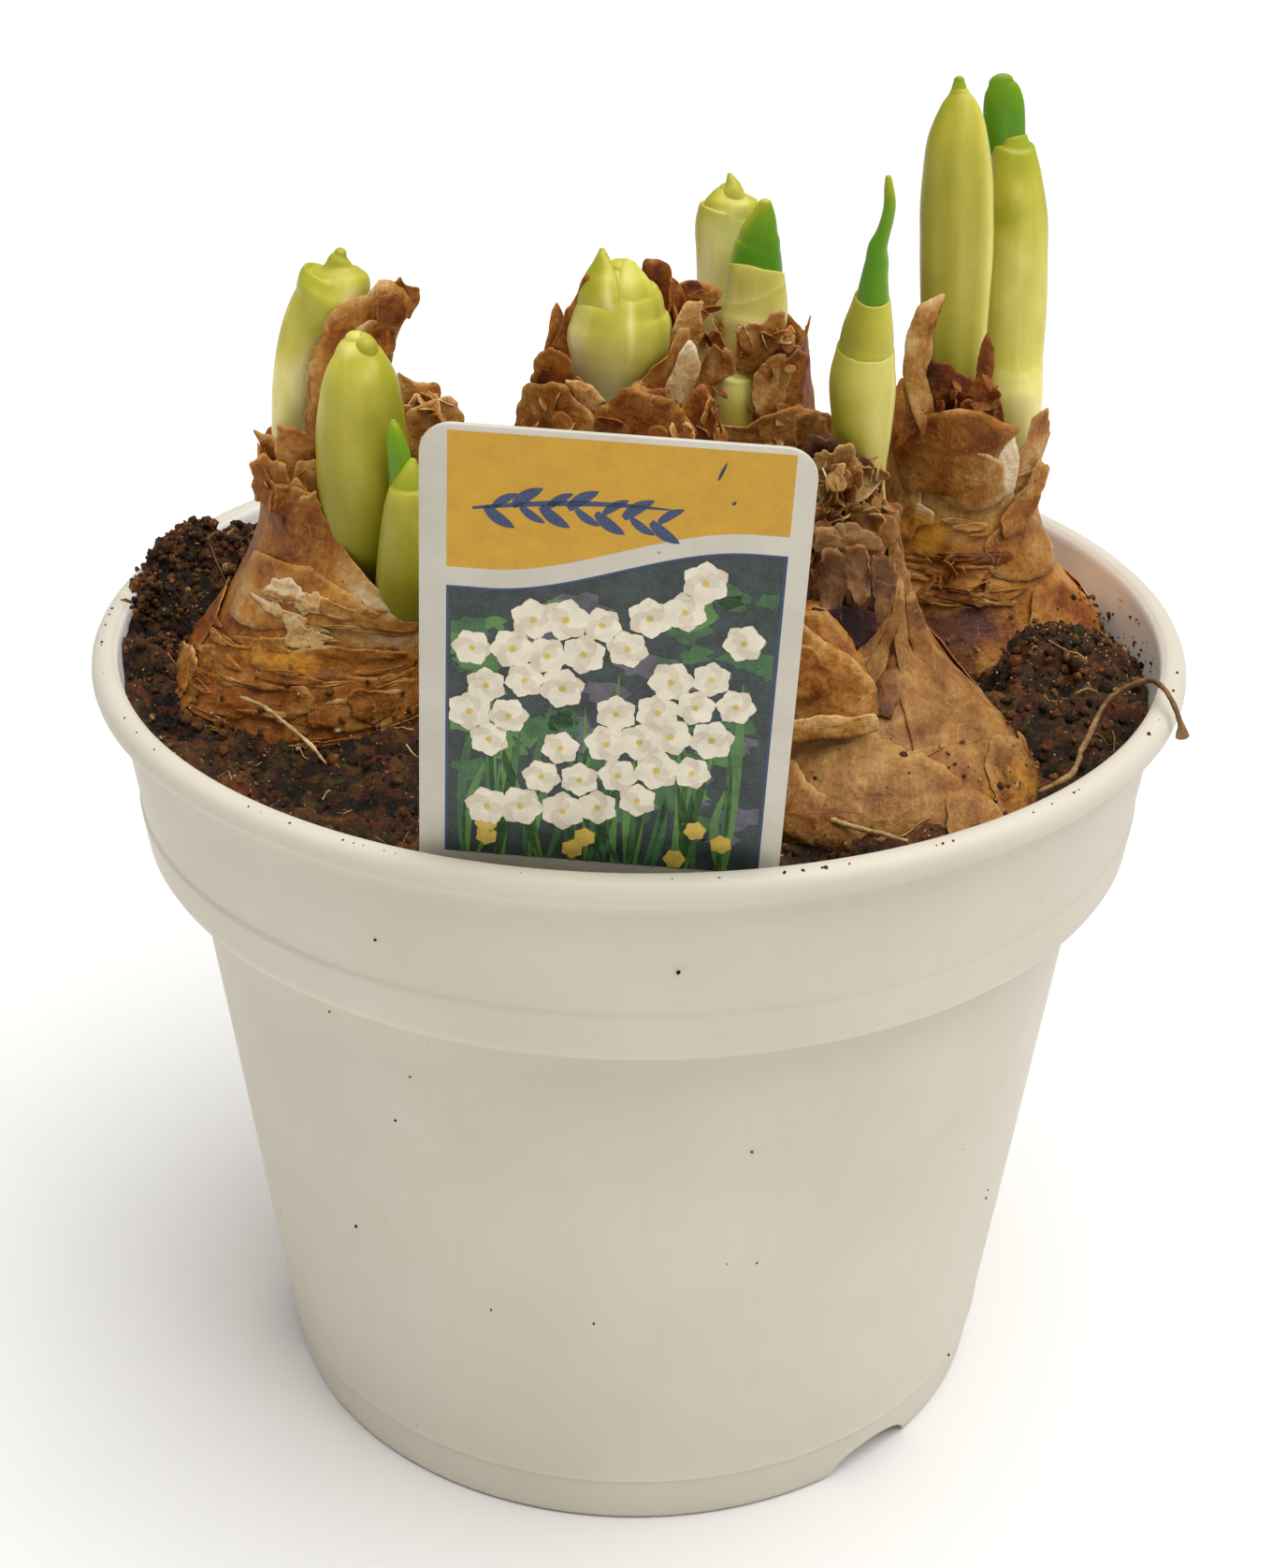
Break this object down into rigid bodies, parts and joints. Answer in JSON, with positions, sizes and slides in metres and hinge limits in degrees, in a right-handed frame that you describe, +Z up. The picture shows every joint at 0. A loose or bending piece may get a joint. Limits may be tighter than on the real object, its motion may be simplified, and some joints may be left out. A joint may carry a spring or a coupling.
{
  "type": "potted bulb plant",
  "caption": "White plastic nursery pot of forced narcissus bulbs with short green shoots, papery brown collars, dark peat soil and a plant tag inside the front rim.",
  "frame": {"origin": "centre of the pot's foot, on the surface it stands on", "axes": "+Z up along the pot's axis; -Y is the front, where the plant tag stands; +X is to the right seen from the front"},
  "size_m": [0.17, 0.17, 0.2124],
  "materials": {
    "pot": "off-white injection-moulded polypropylene, satin, with soil dust and scuffs",
    "tag": "white plastic sheet with a printed front, satin",
    "soil": "moist dark peat mix, crumbly and matt",
    "bulb_skin": "dry brown papery bulb skin, matt with a faint sheen",
    "offset_skin": "orange-brown bulb skin, smooth and faintly glossy",
    "old_nose": "withered dark grey-purple neck, wrinkled and matt",
    "tunic": "torn brown papery layers, translucent at the edges",
    "sheath": "pale yellow-green sheath, smooth and waxy, finely striped lengthways",
    "leaf": "fresh green leaf, smooth and waxy",
    "root": "dry thin root, matt"
  },
  "bodies": {
    "root": {"bulb_back": "bulb_skin", "bulb_centre": "bulb_skin", "bulb_front_right": "bulb_skin", "bulb_left": "bulb_skin", "bulb_right": "bulb_skin", "leaf_back_left": "leaf", "leaf_back_right": "leaf", "leaf_centre_left": "leaf", "leaf_centre_right": "leaf", "leaf_front_right": "leaf", "leaf_left_front": "leaf", "leaf_left_side": "leaf", "leaf_right_left": "leaf", "leaf_right_right": "leaf", "offset_front_right": "offset_skin", "old_nose_front_right": "old_nose", "plant_tag": "tag", "pot": "pot", "root_front": "root", "root_left": "root", "root_over_rim": "root", "scale_back_left": "tunic", "scale_centre_right": "tunic", "scale_left_rear": "tunic", "scale_right_left": "tunic", "sheath_front_right_lower": "sheath", "sheath_front_right_upper": "sheath", "shoot_back_left": "sheath", "shoot_back_right": "sheath", "shoot_back_stub": "sheath", "shoot_centre": "sheath", "shoot_left_front": "sheath", "shoot_left_rear": "sheath", "shoot_left_side": "sheath", "shoot_right_left": "sheath", "shoot_right_right": "sheath", "soil": "soil", "tunic_back": "tunic", "tunic_centre": "tunic", "tunic_front_right": "tunic", "tunic_left": "tunic", "tunic_right": "tunic"}
  },
  "joints": []
}
